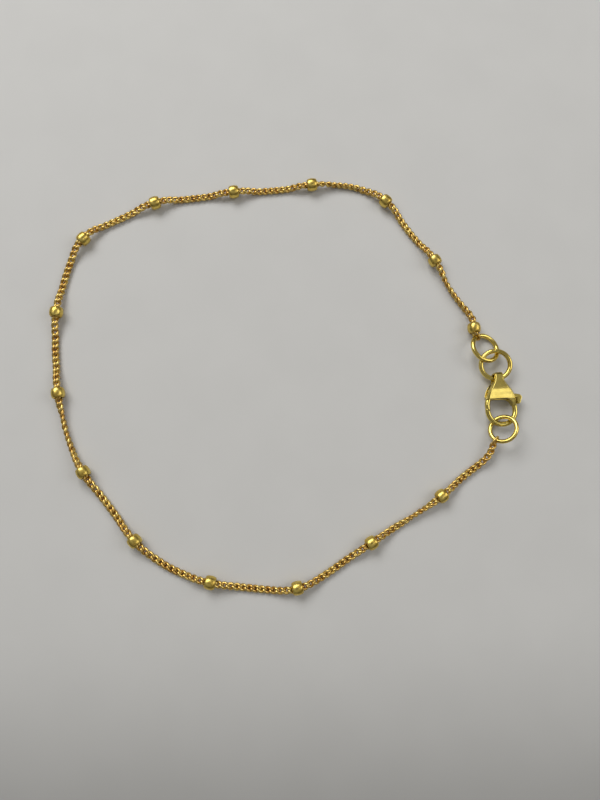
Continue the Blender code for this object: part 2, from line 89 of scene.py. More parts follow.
# How far the chain has rolled from lying flat, where it counts in bead spacings: bead_01 is 1.
CHAIN_ROLL = [
    # place, degrees
    (0.1, 57), (0.35, 15), (0.8, -8), (1.1, 20), (1.22, 75), (1.42, 98), (1.62, 160),
    (2.0, 184), (3.0, 172), (4.0, 186), (5.0, 178), (6.0, 190), (6.2, 250), (6.45, 270),
    (6.68, 280), (6.9, 350), (7.6, 364), (9.0, 355), (10.5, 368), (11.8, 356), (12.1, 320),
    (12.25, 278), (12.55, 262), (12.8, 192), (13.4, 176), (14.1, 170), (14.35, 108),
    (14.65, 84), (14.9, 20), (15.2, -8), (15.5, -40),
]

# Beads: smooth rondelles with a rounded bore.
BEAD_COUNT = 15
BEAD_DIAMETER = 1.85 * MM
BEAD_LENGTH = 1.4 * MM
BEAD_BORE = 1.15 * MM
BEAD_LIP = 0.05 * MM
BEAD_LIP_STEPS = 6
BEAD_SEGMENTS = 56
BEAD_ARC_STEPS = 22
FIRST_BEAD = 10.5 * MM
BEAD_SPACING = 11.58 * MM

# Jump rings: round wire bent into a ring, whose two cut ends nearly meet. The cuts' places are
# angles round each ring from its lowest point.
RING_POINTS = 128
RING_SIDES = 28
RING_CUT = 0.015 * MM
RING_CUT_ROUND = 0.03 * MM
RING_SHARP_EDGE = math.radians(60)
RING_CUT_PLACES = {
    "jump_ring_upper": math.radians(-45),
    "jump_ring_middle": math.radians(245),
    "jump_ring_lower": math.radians(-20),
}

# Clasp, in millimetres: its main sizes are those of the solids that it replaces.
CLASP_PLACE = (30.19, -4.9)
CLASP_TURN = math.radians(3.4)
CLASP_LENGTH = 7.73
CLASP_THICKNESS = 2.2
CLASP_BACK_FULLNESS = 1.2
CLASP_FLAT_BACK_FROM = 0.8
HOOK_WIRE = 0.72
HOOK_WIRE_SIDES = 28
HOOK_ARC_STEPS = 60
EYE_WIDTH = 3.14
EYE_HEAD_LENGTH = 1.62
HOOK_ROOT = 0.75 * EYE_HEAD_LENGTH
HOOK_ROOT_SHIFT = 0.02
EYE_CORNER = 0.95
EYE_CORNER_STEPS = 12
EYE_RELIEF = 0.03
TAIL_WALL = 0.3
TAIL_BORE = 0.54
TAIL_BORE_FLARE = 0.22
TAIL_BORE_MOUTH = 1.32
TAIL_BORE_SIDES = 48
TAIL_BORE_ROWS = 13
SLOT_FRONT = 1.7
SLOT_BACK = 3.62
SLOT_HALF_HEIGHT = 0.42
SEAM_RISE = 0.2
SEAM_ANGLE = math.radians(40)
SEAM_GAP = 0.1
SEAM_REACH = 1.5 * HOOK_WIRE

# The gate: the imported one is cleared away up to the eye's head, and a round rod takes its place.
GATE_CLEARED_LEFT = -3.0
GATE_CLEARED_RIGHT = -0.8
GATE_CLEARED_FRONT = -3.0
GATE_ROD_PATH = [
    (-1.93, -0.5), (-1.93, 0.3), (-1.92, 0.8), (-1.86, 1.2),
    (-1.72, 1.6), (-1.5, 2.0), (-1.25, 2.4),
]

# Casting: the grain of the skin and how many passes ease its edges.
BODY_VOXEL = 0.04
BODY_EASING = 5
LEVER_VOXEL = 0.03
LEVER_EASING = 14

# Clasp body sections from the tail to the leg, as shares of the tail's distance from the eye
# centre, of the half width and of the half thickness, with how far the top face reaches to the
# left and to the right as shares of the section's own half width.
CLASP_SECTIONS = [
    # along, width, height, left face, right face
    (1.00, 0.18, 0.42, 0.55, 0.55),
    (0.98, 0.27, 0.68, 0.65, 0.60),
    (0.93, 0.32, 0.83, 0.72, 0.60),
    (0.855, 0.335, 0.88, 0.76, 0.55),
    (0.77, 0.39, 0.91, 0.76, 0.45),
    (0.69, 0.52, 0.955, 0.74, 0.42),
    (0.605, 0.67, 1.00, 0.74, 0.50),
    (0.54, 0.77, 0.975, 0.78, 0.61),
    (0.47, 0.85, 0.92, 0.82, 0.70),
    (0.40, 0.90, 0.84, 0.84, 0.76),
    (0.30, 0.94, 0.74, 0.86, 0.82),
    (0.20, 0.96, 0.58, 0.86, 0.84),
    (0.11, 0.985, 0.38, 0.86, 0.84),
]

# The sides of each section, as shares of its half width and of its top or bottom.
FLANK_HEIGHT = 0.74
UPPER_SIDE = [(0.97, 0.3), (1.0, 0.0)]
LOWER_SIDE = [(0.97, 0.45), (0.86, 0.8), (0.68, 1.0)]

# The pale board, in metres. Painted shade deepens its colour over this stretch on its near side.
BOARD_HALF = 1.5
BOARD_DROP = 0.01 * MM
BOARD_SHADE_START = -30 * MM
BOARD_SHADE_END = -70 * MM
BOARD_SHADE = 0.55

# The room's colour by the sine of the height above the horizon.
ROOM_BANDS = [
    (0.0, "#4A4844"),
    (0.35, "#5A5854"),
    (0.62, "#8E8C88"),
    (0.90, "#A8A6A2"),
    (0.97, "#6A6864"),
    (1.0, "#5A5852"),
]

# Soft lamps, in metres.
SOFTBOXES = [
    # name, place, size, radiance, colour
    ("softbox_far_left", (-0.17, 0.25, 0.3), (0.36, 0.2), 5.5, "#FFFEFC"),
    ("softbox_right", (0.3, 0.05, 0.24), (0.2, 0.2), 2.3, "#FFFEFC"),
    ("softbox_near_right", (0.145, -0.065, 0.33), (0.12, 0.08), 1.5, "#FFFEFA"),
]

# The photo's view.
CAMERA_LENS = 27.0
CAMERA_SENSOR = 36.0
CAMERA_CLIP_START = 0.005
CAMERA_PLACE = (-1.6 * MM, -17.55 * MM, 83 * MM)
CAMERA_LEAN = math.radians(-2.46)
CAMERA_TILT = math.radians(9.66)

# The patches of two_tone pass from one tone to the other between these noise values.
TONE_EDGES = (0.35, 0.65)

# The Mix node's sockets for colours, whose names it also gives to its other sockets.
MIX_COLOUR_A = 6
MIX_COLOUR_B = 7
MIX_COLOUR_OUT = 2


def linear(hex_colour):
    """An sRGB hex colour as linear values with alpha."""
    channels = [int(hex_colour[i : i + 2], 16) / 255 for i in (1, 3, 5)]
    curve = [c / 12.92 if c <= 0.04045 else ((c + 0.055) / 1.055) ** 2.4 for c in channels]
    return (*curve, 1.0)


def add_node(tree, kind, settings=None, links=None):
    """Adds a node. Settings name its attributes or sockets, and links name the sockets fed."""
    node = tree.nodes.new(kind)
    for name, value in (settings or {}).items():
        if name in node.inputs:
            node.inputs[name].default_value = value
        else:
            setattr(node, name, value)
    for name, source in (links or {}).items():
        tree.links.new(source, node.inputs[name])
    return node


def new_material(name):
    made = bpy.data.materials.new(name)
    made.use_nodes = True
    tree = made.node_tree
    shader = tree.nodes["Principled BSDF"]
    place = add_node(tree, "ShaderNodeTexCoord")
    return made, tree, shader, place.outputs["Object"]


# Finishes


def two_tone(tree, place, size, light, deep):
    """A soft wander between two tones of plate, in patches of the given size."""
    noise = add_node(
        tree,
        "ShaderNodeTexNoise",
        {"Scale": 1 / size, "Detail": 2.0, "Roughness": 0.5},
        {"Vector": place},
    )
    ramp = add_node(tree, "ShaderNodeValToRGB", None, {"Fac": noise.outputs["Fac"]})
    for element, edge, tone in zip(ramp.color_ramp.elements, TONE_EDGES, (deep, light)):
        element.position = edge
        element.color = linear(tone)
    return ramp.outputs["Color"]


def polished_cast_gold_plate():
    """Gold plate over cast brass, tumbled and buffed.

    It mirrors its surroundings in yellow. The buffing leaves soft waves about half a
    millimetre across and hair scratches, so highlights have slightly uneven edges.
    """
    made, tree, shader, place = new_material("polished_cast_gold_plate")
    shader.inputs["Metallic"].default_value = 1.0
    tone = two_tone(tree, place, 1.6 * MM, "#DCC870", "#CCB65E")
    tree.links.new(tone, shader.inputs["Base Color"])
    waves = add_node(
        tree, "ShaderNodeTexNoise", {"Scale": 1 / (0.55 * MM), "Detail": 1.0}, {"Vector": place}
    )
    stretch = add_node(
        tree,
        "ShaderNodeMapping",
        {"Scale": (1.0, 0.12, 1.0), "Rotation": (0.2, 0.4, 0.5)},
        {"Vector": place},
    )
    hairs = add_node(
        tree,
        "ShaderNodeTexNoise",
        {"Scale": 1 / (0.05 * MM), "Detail": 3.0, "Roughness": 0.7},
        {"Vector": stretch.outputs["Vector"]},
    )
    gloss = add_node(
        tree,
        "ShaderNodeMapRange",
        {"From Min": 0.3, "From Max": 0.75, "To Min": 0.13, "To Max": 0.27},
        {"Value": hairs.outputs["Fac"]},
    )
    tree.links.new(gloss.outputs["Result"], shader.inputs["Roughness"])
    swell = add_node(
        tree,
        "ShaderNodeBump",
        {"Strength": 0.5, "Distance": 0.012 * MM},
        {"Height": waves.outputs["Fac"]},
    )
    scratch = add_node(
        tree,
        "ShaderNodeBump",
        {"Strength": 0.25, "Distance": 0.002 * MM},
        {"Height": hairs.outputs["Fac"], "Normal": swell.outputs["Normal"]},
    )
    tree.links.new(scratch.outputs["Normal"], shader.inputs["Normal"])
    return made


def tumbled_bead_gold_plate():
    """Gold plate over small turned beads, tumbled in bulk.

    Fine pitting and soft dents blur the mirror, so each bead has one broad warm highlight
    that fades into a duller olive yellow.
    """
    made, tree, shader, place = new_material("tumbled_bead_gold_plate")
    shader.inputs["Metallic"].default_value = 1.0
    tone = two_tone(tree, place, 0.7 * MM, "#E4CC70", "#CDAE54")
    tree.links.new(tone, shader.inputs["Base Color"])
    dents = add_node(
        tree, "ShaderNodeTexNoise", {"Scale": 1 / (0.45 * MM), "Detail": 2.0}, {"Vector": place}
    )
    gloss = add_node(
        tree,
        "ShaderNodeMapRange",
        {"From Min": 0.3, "From Max": 0.7, "To Min": 0.26, "To Max": 0.42},
        {"Value": dents.outputs["Fac"]},
    )
    tree.links.new(gloss.outputs["Result"], shader.inputs["Roughness"])
    dent = add_node(
        tree,
        "ShaderNodeBump",
        {"Strength": 0.5, "Distance": 0.04 * MM},
        {"Height": dents.outputs["Fac"]},
    )
    tree.links.new(dent.outputs["Normal"], shader.inputs["Normal"])
    return made


def drawn_wire_gold_plate():
    """Gold plate over drawn brass wire, as on the jump rings.

    The wire comes smooth from its die, so it has a long clean highlight with only faint
    handling marks from the pliers.
    """
    made, tree, shader, place = new_material("drawn_wire_gold_plate")
    shader.inputs["Metallic"].default_value = 1.0
    tone = two_tone(tree, place, 2.2 * MM, "#E8D276", "#DCC264")
    tree.links.new(tone, shader.inputs["Base Color"])
    marks = add_node(
        tree,
        "ShaderNodeTexNoise",
        {"Scale": 1 / (0.12 * MM), "Detail": 3.0, "Roughness": 0.65},
        {"Vector": place},
    )
    gloss = add_node(
        tree,
        "ShaderNodeMapRange",
        {"From Min": 0.3, "From Max": 0.75, "To Min": 0.14, "To Max": 0.26},
        {"Value": marks.outputs["Fac"]},
    )
    tree.links.new(gloss.outputs["Result"], shader.inputs["Roughness"])
    dent = add_node(
        tree,
        "ShaderNodeBump",
        {"Strength": 0.3, "Distance": 0.0006 * MM},
        {"Height": marks.outputs["Fac"]},
    )
    tree.links.new(dent.outputs["Normal"], shader.inputs["Normal"])
    return made


def dipped_link_gold_plate():
    """Gold plate over fine machine-made curb links, bright dipped.

    Each link gives one small soft glint, and between the links the yellow deepens to
    orange-brown where gold mirrors gold.
    """
    made, tree, shader, place = new_material("dipped_link_gold_plate")
    shader.inputs["Metallic"].default_value = 1.0
    tone = two_tone(tree, place, 0.9 * MM, "#E2C878", "#C69E54")
    tree.links.new(tone, shader.inputs["Base Color"])
    grain = add_node(
        tree, "ShaderNodeTexNoise", {"Scale": 1 / (0.08 * MM), "Detail": 2.0}, {"Vector": place}
    )
    gloss = add_node(
        tree,
        "ShaderNodeMapRange",
        {"From Min": 0.3, "From Max": 0.7, "To Min": 0.26, "To Max": 0.4},
        {"Value": grain.outputs["Fac"]},
    )
    tree.links.new(gloss.outputs["Result"], shader.inputs["Roughness"])
    dent = add_node(
        tree,
        "ShaderNodeBump",
        {"Strength": 0.3, "Distance": 0.004 * MM},
        {"Height": grain.outputs["Fac"]},
    )
    tree.links.new(dent.outputs["Normal"], shader.inputs["Normal"])
    return made


def matt_white_board():
    """The plain pale surface: uncoated white board, with a faint cloudy fibre.

    Its colour is painted a deeper grey towards the near side: painted shade for where less of the
    soft light reaches.
    """
    made, tree, shader, place = new_material("matt_white_board")
    shader.inputs["Roughness"].default_value = 0.8
    shader.inputs["Specular IOR Level"].default_value = 0.2
    tone = two_tone(tree, place, 9 * MM, "#CECECD", "#CCCCCB")
    # Painted shade: the board's colour is multiplied towards a dark grey on the near side, by place
    # alone.
    parts = add_node(tree, "ShaderNodeSeparateXYZ", None, {"Vector": place})
    painted_shade_share = add_node(
        tree,
        "ShaderNodeMapRange",
        {
            "interpolation_type": "SMOOTHSTEP",
            "From Min": BOARD_SHADE_START,
            "From Max": BOARD_SHADE_END,
            "To Max": BOARD_SHADE,
        },
        {"Value": parts.outputs["Y"]},
    )
    shade = add_node(
        tree,
        "ShaderNodeMix",
        {"data_type": "RGBA", "blend_type": "MULTIPLY"},
        {"Factor": painted_shade_share.outputs["Result"], MIX_COLOUR_A: tone},
    )
    shade.inputs[MIX_COLOUR_B].default_value = linear("#484642")
    tree.links.new(shade.outputs[MIX_COLOUR_OUT], shader.inputs["Base Color"])
    fibre = add_node(
        tree, "ShaderNodeTexNoise", {"Scale": 1 / (0.5 * MM), "Detail": 4.0}, {"Vector": place}
    )
    tooth = add_node(
        tree,
        "ShaderNodeBump",
        {"Strength": 0.3, "Distance": 0.01 * MM},
        {"Height": fibre.outputs["Fac"]},
    )
    tree.links.new(tooth.outputs["Normal"], shader.inputs["Normal"])
    return made


# Wires


def unit(rows):
    return rows / np.linalg.norm(rows, axis=-1, keepdims=True)


def add_object(name, mesh, material):
    made = bpy.data.objects.new(name, mesh)
    bpy.context.scene.collection.objects.link(made)
    mesh.materials.clear()
    mesh.materials.append(material)
    mesh.shade_smooth()
    return made


def wire_mesh(name, paths, outward, radii, sides, closed):
    """Round wires swept along rows of points; outward gives each section a steady direction."""
    wires, count, _ = paths.shape
    if closed:
        headings = unit(np.roll(paths, -1, axis=1) - np.roll(paths, 1, axis=1))
    else:
        headings = unit(np.gradient(paths, axis=1))
    lean = (outward * headings).sum(axis=-1, keepdims=True)
    out = unit(outward - lean * headings)
    up = np.cross(headings, out)
    angles = 2 * np.pi * np.arange(sides) / sides
    sideways = np.cos(angles)[:, None] * out[:, :, None]
    upward = np.sin(angles)[:, None] * up[:, :, None]
    round_section = sideways + upward
    verts = paths[:, :, None] + np.asarray(radii)[..., None, None] * round_section

    spans = count if closed else count - 1
    wire, point, side = np.meshgrid(range(wires), range(spans), range(sides), indexing="ij")
    following = (point + 1) % count
    beside = (side + 1) % sides

    def index(at_point, at_side):
        return (wire * count + at_point) * sides + at_side

    near_pair = [index(point, side), index(point, beside)]
    far_pair = [index(following, beside), index(following, side)]
    faces = np.stack(near_pair + far_pair, axis=-1).reshape(-1, 4).tolist()
    if not closed:
        for start in range(0, wires * count * sides, count * sides):
            end = start + count * sides
            faces.append(list(range(start, start + sides))[::-1])
            faces.append(list(range(end - sides, end)))
    mesh = bpy.data.meshes.new(name)
    mesh.from_pydata(verts.reshape(-1, 3).tolist(), [], faces)
    return mesh


# Jump rings


class RingPlace:
    """Where a packed jump ring lies, read from its own solid."""

    def __init__(self, node):
        places = np.array([tuple(v.co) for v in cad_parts[node].data.vertices])
        self.centre = places.mean(axis=0)
        spread = places - self.centre
        self.normal = np.linalg.eigh(spread.T @ spread)[1][:, 0]
        self.normal *= np.sign(self.normal[2])
        self.low = unit(self.normal * self.normal[2] - np.array([0.0, 0.0, 1.0]))
        self.side = np.cross(self.normal, self.low)
        away = spread @ self.normal
        self.wire_radius = np.abs(away).max()
        flat = spread - away[:, None] * self.normal
        self.radius = np.linalg.norm(flat, axis=1).max() - self.wire_radius

    def outward(self, turn):
        return np.cos(turn)[..., None] * self.low + np.sin(turn)[..., None] * self.side


def make_jump_ring(node, material):
    """The ring's wire, from one cut end round to the other, with the cut's edges eased."""
    ring = RingPlace(node)
    half_cut = RING_CUT / 2 / ring.radius
    ease = RING_CUT_ROUND / ring.radius
    full = 2 * math.pi
    first = [half_cut, half_cut + ease / 3]
    inner = np.linspace(half_cut + ease, full - half_cut - ease, RING_POINTS)
    last = [full - half_cut - ease / 3, full - half_cut]
    turns = np.concatenate([first, inner, last]) + RING_CUT_PLACES[node]
    rounding = RING_CUT_ROUND / ring.wire_radius
    shape = np.ones(len(turns))
    shape[[0, -1]] = 1 - rounding
    shape[[1, -2]] = 1 - rounding / 3
    outward = ring.outward(turns)
    path = ring.centre + ring.radius * outward
    radii = shape * ring.wire_radius
    mesh = wire_mesh(node + "_wire", path[None], outward[None], radii[None], RING_SIDES, False)
    wire = add_object(node + "_wire", mesh, material)
    mesh.set_sharp_from_angle(angle=RING_SHARP_EDGE)
    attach(wire, "bracelet")
    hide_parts(node)


# Chain


def spline_through(points):
    """A natural cubic curve through the points; returns its places at many even steps."""
    places = np.array(points, float)
    knots = np.concatenate([[0], np.cumsum(np.linalg.norm(np.diff(places, axis=0), axis=1))])
    gaps = np.diff(knots)
    count = len(places)
    system = np.eye(count)
    right = np.zeros_like(places)
    for i in range(1, count - 1):
        system[i, i - 1 : i + 2] = gaps[i - 1], 2 * (gaps[i - 1] + gaps[i]), gaps[i]
        slopes = np.diff(places[i - 1 : i + 2], axis=0) / gaps[i - 1 : i + 1, None]
        right[i] = 6 * (slopes[1] - slopes[0])
    bends = np.linalg.solve(system, right)
    at = np.linspace(0, knots[-1], ROUTE_STEPS_PER_POINT * count)
    i = np.clip(np.searchsorted(knots, at, side="right") - 1, 0, count - 2)
    gap = gaps[i][:, None]
    before = (at - knots[i])[:, None]
    after = gap - before
    cubic = (bends[i] * after**3 + bends[i + 1] * before**3) / (6 * gap)
    straight = (places[i] / gap - bends[i] * gap / 6) * after
    straight += (places[i + 1] / gap - bends[i + 1] * gap / 6) * before
    return cubic + straight


def ring_grip(node, turn):
    """The centre of a ring's wire where the chain hooks on, and the direction out from it."""
    ring = RingPlace(node)
    outward = ring.outward(np.array(turn))
    return ring.centre + ring.radius * outward, outward, ring


class Route:
    """The chain's way from ring to ring, by distance from its lower end."""

    def __init__(self):
        low, low_out, low_ring = ring_grip("jump_ring_lower", LOWER_LINK_TURN)
        high, high_out, _ = ring_grip("jump_ring_upper", UPPER_LINK_TURN)
        self.grip_reach = low_ring.wire_radius + END_LINK_SLACK + LINK_WIRE / 2
        reach = END_LINK_SHIFT + END_LINK_RADIUS
        self.start = low + reach * low_out
        self.end = high + reach * high_out
        points = [tuple(self.start[:2]), *CHAIN_ROUTE, tuple(self.end[:2])]
        self.places = spline_through(points)
        steps = np.linalg.norm(np.diff(self.places, axis=0), axis=1)
        self.distance = np.concatenate([[0], np.cumsum(steps)])
        self.length = self.distance[-1]
        self.beads = FIRST_BEAD + BEAD_SPACING * np.arange(BEAD_COUNT)

    def roll(self, along):
        """The chain's roll at these distances, eased between the table's rows."""
        place, degrees = np.array(CHAIN_ROLL).T
        spacings = (along - FIRST_BEAD) / BEAD_SPACING + 1
        eased = np.interp(spacings, place, degrees)
        return np.radians(eased)

    def height(self, along, roll):
        """Resting on its flat or its edge, and lifted at each bead and at both ends."""
        rest = (CHAIN_THICKNESS + (CHAIN_WIDTH - CHAIN_THICKNESS) * np.sin(roll) ** 2) / 2
        places = [*self.beads, 0.0, self.length]
        tops = [BEAD_DIAMETER / 2 + BEAD_LIFT] * BEAD_COUNT + [self.start[2], self.end[2]]
        lift = np.zeros_like(along)
        for place, top in zip(places, tops):
            past_start = np.abs(along - place) - CHAIN_RISE_START
            fall = np.clip(past_start / (CHAIN_RISE_LENGTH - CHAIN_RISE_START), 0, 1)
            share = 0.5 + 0.5 * np.cos(np.pi * fall)
            lift = np.maximum(lift, share * (top - rest))
        return rest + lift

    def at(self, along):
        x = np.interp(along, self.distance, self.places[:, 0])
        y = np.interp(along, self.distance, self.places[:, 1])
        return np.stack([x, y, self.height(along, self.roll(along))], axis=-1)


def curb_link():
    """One link's centre line: an oval whose two ends are twisted opposite ways."""
    turn = 2 * np.pi * np.arange(LINK_POINTS) / LINK_POINTS
    across = LINK_HALF_WIDTH * np.sin(turn)
    twist = LINK_TWIST * np.cos(turn)
    along = LINK_HALF_LENGTH * np.cos(turn)
    return np.stack([along, across * np.cos(twist), across * np.sin(twist)], axis=-1)


def end_link(node, turn):
    """The oval link that joins the chain to a ring: round the ring's wire and one link's wire."""
    grip, outward, ring = ring_grip(node, turn)
    near = ring.wire_radius + END_LINK_WIRE / 2 + END_LINK_SLACK
    far = near + LINK_WIRE + END_LINK_SLACK
    half_length = (near + far) / 2
    half_width = near + 2 * END_LINK_SLACK
    turns = 2 * np.pi * np.arange(LINK_POINTS) / LINK_POINTS
    centre = grip + outward * (far - near) / 2
    return (
        centre
        + half_length * np.cos(turns)[:, None] * outward
        + half_width * np.sin(turns)[:, None] * ring.normal
    )


def make_chain(route, material):
    """All curb links and the two end links, as one mesh of interlocked wires."""
    chance = np.random.default_rng(LINK_SEED)
    first = route.grip_reach + LINK_HALF_LENGTH - END_LINK_SHIFT - END_LINK_RADIUS
    count = round((route.length - 2 * first) / LINK_PITCH) + 1
    along = np.linspace(first, route.length - first, count)
    centres = route.at(along)
    headings = unit(route.at(along + LINK_PITCH / 2) - route.at(along - LINK_PITCH / 2))
    across = unit(np.cross(np.array([0.0, 0.0, 1.0]), headings))
    upward = np.cross(headings, across)
    roll = route.roll(along) + chance.normal(0, LINK_HAND, count)
    flat = np.cos(roll)[:, None] * across + np.sin(roll)[:, None] * upward
    thick = np.cross(headings, flat)
    axes = np.stack([headings, flat, thick], axis=1)
    links = centres[:, None] + curb_link() @ axes
    lower_end = end_link("jump_ring_lower", LOWER_LINK_TURN)
    upper_end = end_link("jump_ring_upper", UPPER_LINK_TURN)
    ends = np.stack([lower_end, upper_end])
    paths = np.concatenate([links, ends])
    outward = paths - paths.mean(axis=1, keepdims=True)
    radii = np.full(paths.shape[:2], LINK_WIRE / 2)
    radii[-len(ends) :] = END_LINK_WIRE / 2
    mesh = wire_mesh("chain_links", paths, outward, radii, LINK_SIDES, True)
    chain = add_object("chain_links", mesh, material)
    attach(chain, "bracelet")
    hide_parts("chain")


# Beads


def bead_profile():
    """The rondelle's half section as (radius, height): round back, eased lips, straight bore."""
    bore = BEAD_BORE / 2
    half = BEAD_LENGTH / 2
    land = bore + 2 * BEAD_LIP
    swell = BEAD_DIAMETER / 2 - land
    turns = np.linspace(math.pi / 2, -math.pi / 2, BEAD_ARC_STEPS + 1)
    outside = [(land + swell * math.cos(a), half * math.sin(a)) for a in turns]
    lip = [math.pi * step / (2 * BEAD_LIP_STEPS) for step in range(1, BEAD_LIP_STEPS + 1)]
    low_lip = [
        (land - 2 * BEAD_LIP * math.sin(a), BEAD_LIP * (1 - math.cos(a)) - half) for a in lip
    ]
    high_lip = [(radius, -height) for radius, height in reversed(low_lip)]
    return outside + low_lip + high_lip


def bead_axis(places):
    """A turned bead's own axis: the direction whose spread differs from the other two."""
    spread = places - places.mean(axis=0)
    sizes, directions = np.linalg.eigh(spread.T @ spread)
    low_gap, high_gap = np.diff(sizes)
    return directions[:, 0] if low_gap > high_gap else directions[:, 2]


def make_beads(material):
    profile = np.array(bead_profile())
    turns = 2 * np.pi * np.arange(BEAD_SEGMENTS) / BEAD_SEGMENTS
    rows = len(profile)
    x = np.outer(np.cos(turns), profile[:, 0])
    y = np.outer(np.sin(turns), profile[:, 0])
    z = np.broadcast_to(profile[:, 1], x.shape)
    verts = np.stack([x, y, z], axis=-1).reshape(-1, 3)
    turn, row = np.meshgrid(range(BEAD_SEGMENTS), range(rows), indexing="ij")
    beside = (turn + 1) % BEAD_SEGMENTS
    below = (row + 1) % rows
    corners = [turn * rows + row, turn * rows + below, beside * rows + below, beside * rows + row]
    mesh = bpy.data.meshes.new("satellite_bead")
    mesh.from_pydata(verts.tolist(), [], np.stack(corners, axis=-1).reshape(-1, 4).tolist())
    for i in range(1, BEAD_COUNT + 1):
        node = f"bead_{i:02d}"
        places = np.array([tuple(v.co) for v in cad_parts[node].data.vertices])
        low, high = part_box(node)
        bead = add_object(f"satellite_{node}", mesh, material)
        turned = Vector(bead_axis(places)).to_track_quat("Z", "Y").to_matrix().to_4x4()
        bead.matrix_world = Matrix.Translation((low + high) / 2) @ turned
        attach(bead, "bracelet")
        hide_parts(node)


# Clasp, made in millimetres round its eye centre and then put in its place


def clasp_matrix():
    place = Matrix.Translation((CLASP_PLACE[0] * MM, CLASP_PLACE[1] * MM, CLASP_THICKNESS / 2 * MM))
    return place @ Matrix.Rotation(CLASP_TURN, 4, "Z") @ Matrix.Scale(MM, 4)


def hook_radius():
    return (EYE_WIDTH + HOOK_WIRE) / 2


def tail_end():
    return CLASP_LENGTH - hook_radius() - HOOK_WIRE / 2


def workpiece(name, verts, faces):
    mesh = bpy.data.meshes.new(name)
    mesh.from_pydata([tuple(v) for v in verts], [], faces)
    made = bpy.data.objects.new(name, mesh)
    bpy.context.scene.collection.objects.link(made)
    return made


def settled(made):
    """The piece with its modifiers applied."""
    bpy.context.view_layer.update()
    graph = bpy.context.evaluated_depsgraph_get()
    mesh = bpy.data.meshes.new_from_object(made.evaluated_get(graph))
    made.modifiers.clear()
    made.data = mesh
    return made


def combine(target, tool, operation):
    """Cuts or joins the tool piece, and uses it up."""
    step = target.modifiers.new(operation, "BOOLEAN")
    step.operation = operation
    step.solver = "EXACT"
    step.object = tool
    settled(target)
    bpy.data.objects.remove(tool)


def loft(name, rows):
    """Closed rows of points joined side to side, capped at both ends."""
    sides = len(rows[0])
    verts = [point for row in rows for point in row]
    faces = []
    for row in range(len(rows) - 1):
        for side in range(sides):
            beside = (side + 1) % sides
            low = row * sides
            faces.append((low + side, low + beside, low + sides + beside, low + sides + side))
    faces.append(tuple(range(sides))[::-1])
    faces.append(tuple(range(len(verts) - sides, len(verts))))
    return workpiece(name, verts, faces)


def plate(name, outline, low, high):
    """A flat outline, counter-clockwise, given a thickness."""
    return loft(name, [[(x, y, low) for x, y in outline], [(x, y, high) for x, y in outline]])


def arc(centre, radius, start, end, steps):
    """Points along an arc between two angles in degrees, ends included."""
    angles = np.radians(np.linspace(start, end, steps + 1))
    return [(centre[0] + radius * math.cos(a), centre[1] + radius * math.sin(a)) for a in angles]


def round_wire(name, flat_path):
    """Wire as thick as the hook, along points at half the clasp's thickness."""
    path = np.array([[(x, y, 0) for x, y in flat_path]], float)
    outward = np.broadcast_to([0.0, 0.0, 1.0], path.shape)
    radii = np.full(path.shape[:2], HOOK_WIRE / 2)
    mesh = wire_mesh(name, path, outward, radii, HOOK_WIRE_SIDES, False)
    made = bpy.data.objects.new(name, mesh)
    bpy.context.scene.collection.objects.link(made)
    return made


def cast_smooth(made, voxel, passes):
    """Turns the cut piece into one skin and eases all its edges, as tumbling does."""
    skin = made.modifiers.new("skin", "REMESH")
    skin.mode = "VOXEL"
    skin.voxel_size = voxel
    ease = made.modifiers.new("ease", "SMOOTH")
    ease.factor = 0.5
    ease.iterations = passes
    return settled(made)


def section_outline(width, height, left_face, right_face):
    """A rounded section: flat top face, bevelled flanks and full sides over a flat back."""
    half_width = (hook_radius() + HOOK_WIRE / 2) * width
    half_height = CLASP_THICKNESS / 2
    top = half_height * height
    full_back = CLASP_BACK_FULLNESS if height > CLASP_FLAT_BACK_FROM else 1.0
    bottom = max(-half_height, -top * full_back)

    def side(face):
        flank = [(half_width * face, top), (half_width * (face + 1) / 2, top * FLANK_HEIGHT)]
        upper = [(half_width * out, top * up) for out, up in UPPER_SIDE]
        lower = [(half_width * out, bottom * down) for out, down in LOWER_SIDE]
        return flank + upper + lower

    left = [(-x, z) for x, z in reversed(side(left_face))]
    return side(right_face) + left


def clasp_head():
    """The head from tail to leg, with a crest across it and a front face down to the eye."""
    rows = []
    for along, *shape in CLASP_SECTIONS:
        outline = section_outline(*shape)
        rows.append([(x, along * tail_end(), z) for x, z in outline])
    return loft("clasp_body", rows)


def eye_tool():
    side = hook_radius() - HOOK_WIRE / 2 - EYE_RELIEF
    corner = (side - EYE_CORNER, EYE_HEAD_LENGTH - EYE_CORNER)
    far = -2 * EYE_WIDTH
    outline = [(far, -EYE_WIDTH), (side, -EYE_WIDTH)]
    outline += arc(corner, EYE_CORNER, 0, 90, EYE_CORNER_STEPS)
    outline.append((far, EYE_HEAD_LENGTH))
    return plate("eye_tool", outline, -CLASP_THICKNESS, CLASP_THICKNESS)


def slot_tool():
    reach = 2 * EYE_WIDTH
    inner = hook_radius() - HOOK_WIRE
    outline = [
        (-reach, EYE_HEAD_LENGTH / 2),
        (inner, EYE_HEAD_LENGTH / 2),
        (inner, SLOT_FRONT),
        (reach, SLOT_FRONT),
        (reach, SLOT_BACK),
        (-reach, SLOT_BACK),
    ]
    return plate("slot_tool", outline, -SLOT_HALF_HEIGHT, SLOT_HALF_HEIGHT)


def tail_tool():
    """The tail's cross hole, flared to both sides."""
    half = hook_radius()
    hole = tail_end() - TAIL_WALL - TAIL_BORE
    last_angle = 360 - 360 / TAIL_BORE_SIDES
    rows = []
    for share in np.linspace(-1, 1, TAIL_BORE_ROWS):
        radius = TAIL_BORE + TAIL_BORE_FLARE * (share * half / TAIL_BORE_MOUTH) ** 2
        circle = arc((0, 0), radius, 0, last_angle, TAIL_BORE_SIDES - 1)
        rows.append([(share * half, hole + y, z) for y, z in circle])
    return loft("tail_tool", rows)


